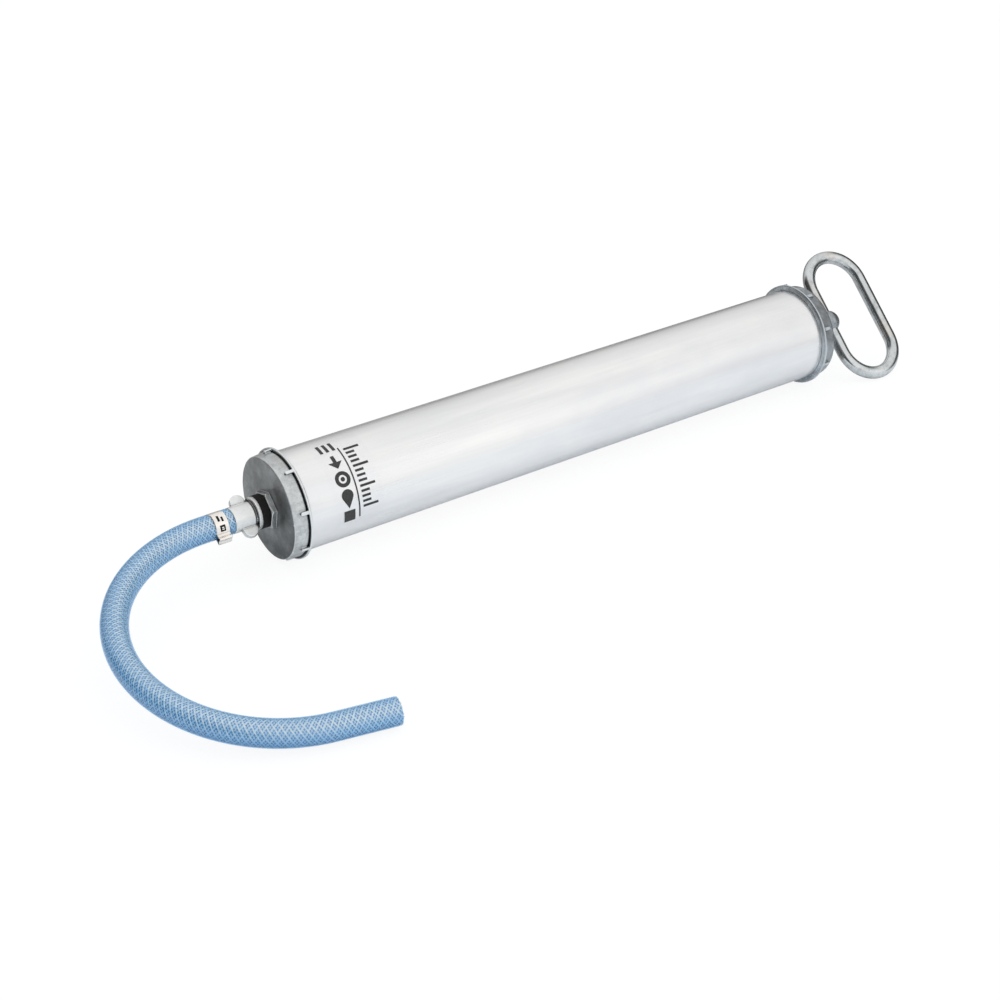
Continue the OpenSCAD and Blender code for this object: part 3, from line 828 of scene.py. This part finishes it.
def strip(s0, s1, x0, x1):
    """Stations of a rectangle from s0 to s1 round the barrel and x0 to x1 along it."""
    steps = max(2, int(abs(s1 - s0) / (0.8 * MM)))
    stops = [s0 + (s1 - s0) * i / steps for i in range(steps + 1)]
    return [((s, x0), (s, x1)) for s in stops]


def centred(s, x, half_s, half_x):
    """Stations of a rectangle round its middle."""
    return strip(s - half_s, s + half_s, x - half_x, x + half_x)


def hoop(s, x, outer, inner):
    """Stations of a flat ring."""
    turns = [2 * math.pi * k / 36 for k in range(37)]
    return [((s + outer * math.cos(a), x + outer * math.sin(a)),
             (s + inner * math.cos(a), x + inner * math.sin(a))) for a in turns]


def taper(s0, s1, x, half0, half1):
    """Stations of a shape that narrows from half0 to half1 between s0 and s1."""
    out, steps = [], 14
    for i in range(steps + 1):
        t = i / steps
        s, half = s0 + (s1 - s0) * t, half1 + (half0 - half1) * (1 - t)
        out.append(((s, x - half), (s, x + half)))
    return out


def drop(s, x, r):
    """Stations of a drop with its point towards +s."""
    turns = [math.pi * k / 20 * 0.62 for k in range(21)]
    round_part = [(-math.cos(a), math.sin(a)) for a in turns]
    end_s, end_half = round_part[-1]
    tip = 2.1
    point = [(end_s + (tip - end_s) * k / 12, end_half * (1 - k / 12)) for k in range(1, 13)]
    return [((s + a * r, x - b * r), (s + a * r, x + b * r)) for a, b in round_part + point]


def bold_signs(spots, x1, x2):
    """Five generic signs in a row: three bars, an arrow, a ring with a dot, a drop and a square."""
    mid, tall = (x1 + x2) / 2, x2 - x1
    heavy = 2.6 * MM
    lines, arrow, ring, oil, square = spots
    signs = [centred(square, mid, 4.2 * MM, 4.2 * MM)]
    signs.append(drop(oil - 1.9 * MM, mid, tall * 0.36))
    signs.append(hoop(ring, mid, tall * 0.46, tall * 0.46 - heavy))
    signs.append(hoop(ring, mid, tall * 0.13, 0.05 * MM))
    signs.append(strip(arrow - 4.6 * MM, arrow + 1.0 * MM, mid - heavy / 2, mid + heavy / 2))
    signs.append(taper(arrow + 0.6 * MM, arrow + 5.6 * MM, mid, tall * 0.42, 0.1 * MM))
    signs += [centred(lines, mid + k * tall * 0.38, 4.2 * MM, heavy * 0.42) for k in (-1, 0, 1)]
    return signs


def graduations(start, span, x):
    """A row of ticks without numbers, every fourth one long."""
    ticks = []
    for k in range(13):
        s = start + span * (0.20 + 0.052 * k)
        depth = 11.5 * MM if k % 4 == 0 else 6.4 * MM
        ticks.append(strip(s - 0.85 * MM, s + 0.85 * MM, x, x + depth))
    return ticks


def label_marks(start, end, x0):
    """Generic marks: a row of bold signs, a line and a graduated row below it."""
    span = end - start
    spots = [start + span * k for k in (0.115, 0.305, 0.50, 0.695, 0.885)]
    line = strip(start + span * 0.16, start + span * 0.93, x0 + 17.7 * MM, x0 + 18.7 * MM)
    return (bold_signs(spots, x0 + 4.5 * MM, x0 + 16.6 * MM) + [line]
            + graduations(start, span, x0 + 21.2 * MM))


def build_label(looks):
    """A clear film with generic marks printed on it."""
    low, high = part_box("barrel_label")
    tube_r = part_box("barrel_tube")[1].z
    radius = tube_r + 0.03 * MM
    start = math.acos(high.y / tube_r) * radius
    end = (math.pi + math.asin(-low.z / tube_r)) * radius
    sheet = wrapped(strip(start, end, low.x, high.x), radius, FILM_THICK)
    film = crisp(rings_to_mesh("label_film", sheet, looks["film"]))
    verts, faces = [], []
    for stations in label_marks(start, end, low.x):
        rings = wrapped(stations, radius + 0.09 * MM, INK_THICK)
        faces += skin(len(rings), 4, first=len(verts))
        verts += [p for ring in rings for p in ring]
    ink = outward(mesh_object("label_marks", verts, faces, looks["ink"], smooth=False))
    for piece in (film, ink):
        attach(piece, "barrel")
        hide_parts("barrel_label")


# ---------------------------------------------------------------- CAD nodes that stay

def dress_cad(looks):
    """Gives the CAD nodes that stay their materials."""
    finishes = {
        "barrel_tube": "tube", "front_cap_gasket": "gasket", "rear_cap_gasket": "gasket",
        "rod_guide_bush": "bronze", "bush_circlip": "spring", "rod_wiper": "rubber",
        "piston_rod": "rod", "rod_head_pin": "spring", "piston_rear_washer": "plated",
        "rear_cup": "rubber", "piston_spacer": "plated", "front_cup": "rubber",
        "piston_front_washer": "plated", "lock_washer": "spring", "piston_nut": "plated",
        "connector_gasket": "rubber"}
    for node, look in finishes.items():
        mesh = frame["nodes"][node].data
        mesh.materials.clear()
        mesh.materials.append(looks[look])


# ---------------------------------------------------------------- studio

def aim(obj, target):
    obj.rotation_mode = "QUATERNION"
    obj.rotation_quaternion = (target - obj.location).to_track_quat("-Z", "Y")


def softbox(name, place, target, size, power):
    data = bpy.data.lights.new(name, "AREA")
    data.shape, data.size, data.size_y = "RECTANGLE", size[0], size[1]
    data.energy = power
    lamp = bpy.data.objects.new(name, data)
    bpy.context.scene.collection.objects.link(lamp)
    lamp.location = place
    aim(lamp, target)
    return lamp


def build_world():
    """Soft surroundings that run along the barrel: dark behind and beyond both ends, bright elsewhere.

    Brightness follows the angle about the X axis, from the back horizon (0) over the top to the
    front (180), in degrees.
    """
    s = Shader("studio", bpy.data.worlds)
    bpy.context.scene.world = s.material
    way = s.add("ShaderNodeTexCoord").outputs["Generated"]
    split = s.add("ShaderNodeSeparateXYZ", {"Vector": way}).outputs
    angle = s.math("ARCTAN2", split["Z"], split["Y"])
    stops = [(0, 0.34), (8, 0.49), (24, 0.74), (50, 0.87), (80, 0.96), (112, 0.94), (130, 1.0), (148, 1.08),
             (166, 1.0), (180, 0.86)]
    warm_white = (1, 0.997, 0.988)
    colours = [(degrees / 180, grey(value, warm_white)) for degrees, value in stops]
    tones = s.ramp(s.span(angle, 0, 1, 0, math.pi), colours)
    path = s.add("ShaderNodeLightPath").outputs
    left_end = s.smooth(split["X"], 1.0, 0.0, -0.66, -0.40)
    right_end = s.smooth(split["X"], 0.0, 1.0, 0.66, 0.86)
    dim = s.mix(path["Is Glossy Ray"], grey(0.75), grey(0.08))
    dimmed = s.mix(1.0, tones, dim, "MULTIPLY")
    tones = s.mix(s.math("ADD", left_end, right_end), tones, dimmed)
    tone = s.mix(path["Is Camera Ray"], tones, grey(1.0))
    back = s.add("ShaderNodeBackground", {"Color": tone, "Strength": 1.0}).outputs[0]
    s.add("ShaderNodeOutputWorld", {"Surface": back})


def build_camera():
    """The product shot's camera, aimed from the middle of the barrel."""
    data = bpy.data.cameras.new("camera")
    data.lens, data.sensor_width = LENS_MM, 36.0
    camera = bpy.data.objects.new("camera", data)
    bpy.context.scene.collection.objects.link(camera)
    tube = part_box("barrel_tube")
    target = (tube[0] + tube[1]) / 2 + AIM
    level = math.cos(ELEVATION)
    back = Vector((math.sin(AZIMUTH) * level, -math.cos(AZIMUTH) * level, math.sin(ELEVATION)))
    camera.location = target + back * CAMERA_DISTANCE
    aim(camera, target)
    bpy.context.scene.camera = camera


def build_stage(low, high):
    """The floor, the soft lights and the camera. Reflections see the surroundings, not the lights."""
    centre = (low + high) / 2
    build_world()
    floor_z = low.z - 0.2 * MM
    size = 6.0
    corners = [(-size, -size), (size, -size), (size, size), (-size, size)]
    verts = [Vector((centre.x + x, centre.y + y, floor_z)) for x, y in corners]
    floor = mesh_object("floor", verts, [(0, 1, 2, 3)], studio_floor(), smooth=False)
    power = 3.0
    for name, offset, size in (("overhead", (-0.1, -0.3, 1.5), (2.2, 1.6)),
                               ("right_key", (1.5, -0.9, 1.2), (1.0, 1.2))):
        softbox(name, centre + Vector(offset), centre, size, power).visible_glossy = False
    build_camera()
    bpy.context.scene.view_settings.view_transform = "Standard"


def build_looks():
    """Every material by name. The caps are brighter on their ribs and rims, beyond crest, partly wear and
    partly a painted highlight.
    """
    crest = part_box("barrel_tube")[1].z + 2.9 * MM
    return {
        "tube": drawn_aluminium(),
        "front_zinc": cast_zinc("front_cast_zinc", 0.62, (0.965, 1.0, 1.015), 0.34, 0.70, 0.36, crest=crest),
        "zinc": cast_zinc("cast_zinc", 0.47, (0.92, 1.0, 1.07), 0.32, 1.5, mottling=2.0, crest=crest),
        "bright_zinc": cast_zinc("bright_cast_zinc", 0.95, (0.985, 1.0, 1.0), 0.30, mottling=0.4, corner_shade_at=0.62),
        "rubber": rubber("black_rubber", 0.007, (1.15, 1, 0.95)),
        "gasket": rubber("gasket_sheet", 0.05),
        "bronze": bronze(),
        "spring": bright_steel("spring_steel", 0.30, (1, 1, 1.02), 0.35, 0.1),
        "rod": bright_steel("hard_chrome", 0.78, (0.99, 1, 1.01), 0.10, 0.06),
        "handle": bright_steel("zinc_plated_bar", 0.74, (0.96, 1, 1.02), 0.13, 0.08, 0.6),
        "plated": bright_steel("plated_steel", 0.70, (1, 1, 1), 0.28, 0.1),
        "clamp": bright_steel("stainless_strip", 0.98, (1.0, 0.955, 0.91), 0.20, 0.08),
        # Painted shade: plain black for the sheet under the clamp's lap and the block in its ear.
        "shade": rubber("painted_shade_black", 0.006),
        "core": milky_core(),
        "skin": clear_skin(),
        "yarn": white_yarn(),
        "film": clear_film(),
        "ink": black_ink(),
    }


looks = build_looks()
dress_cad(looks)
build_castings(looks)
build_handle(looks)
build_hose(looks)
build_clamp(looks)
build_label(looks)
build_stage(*cad_box)
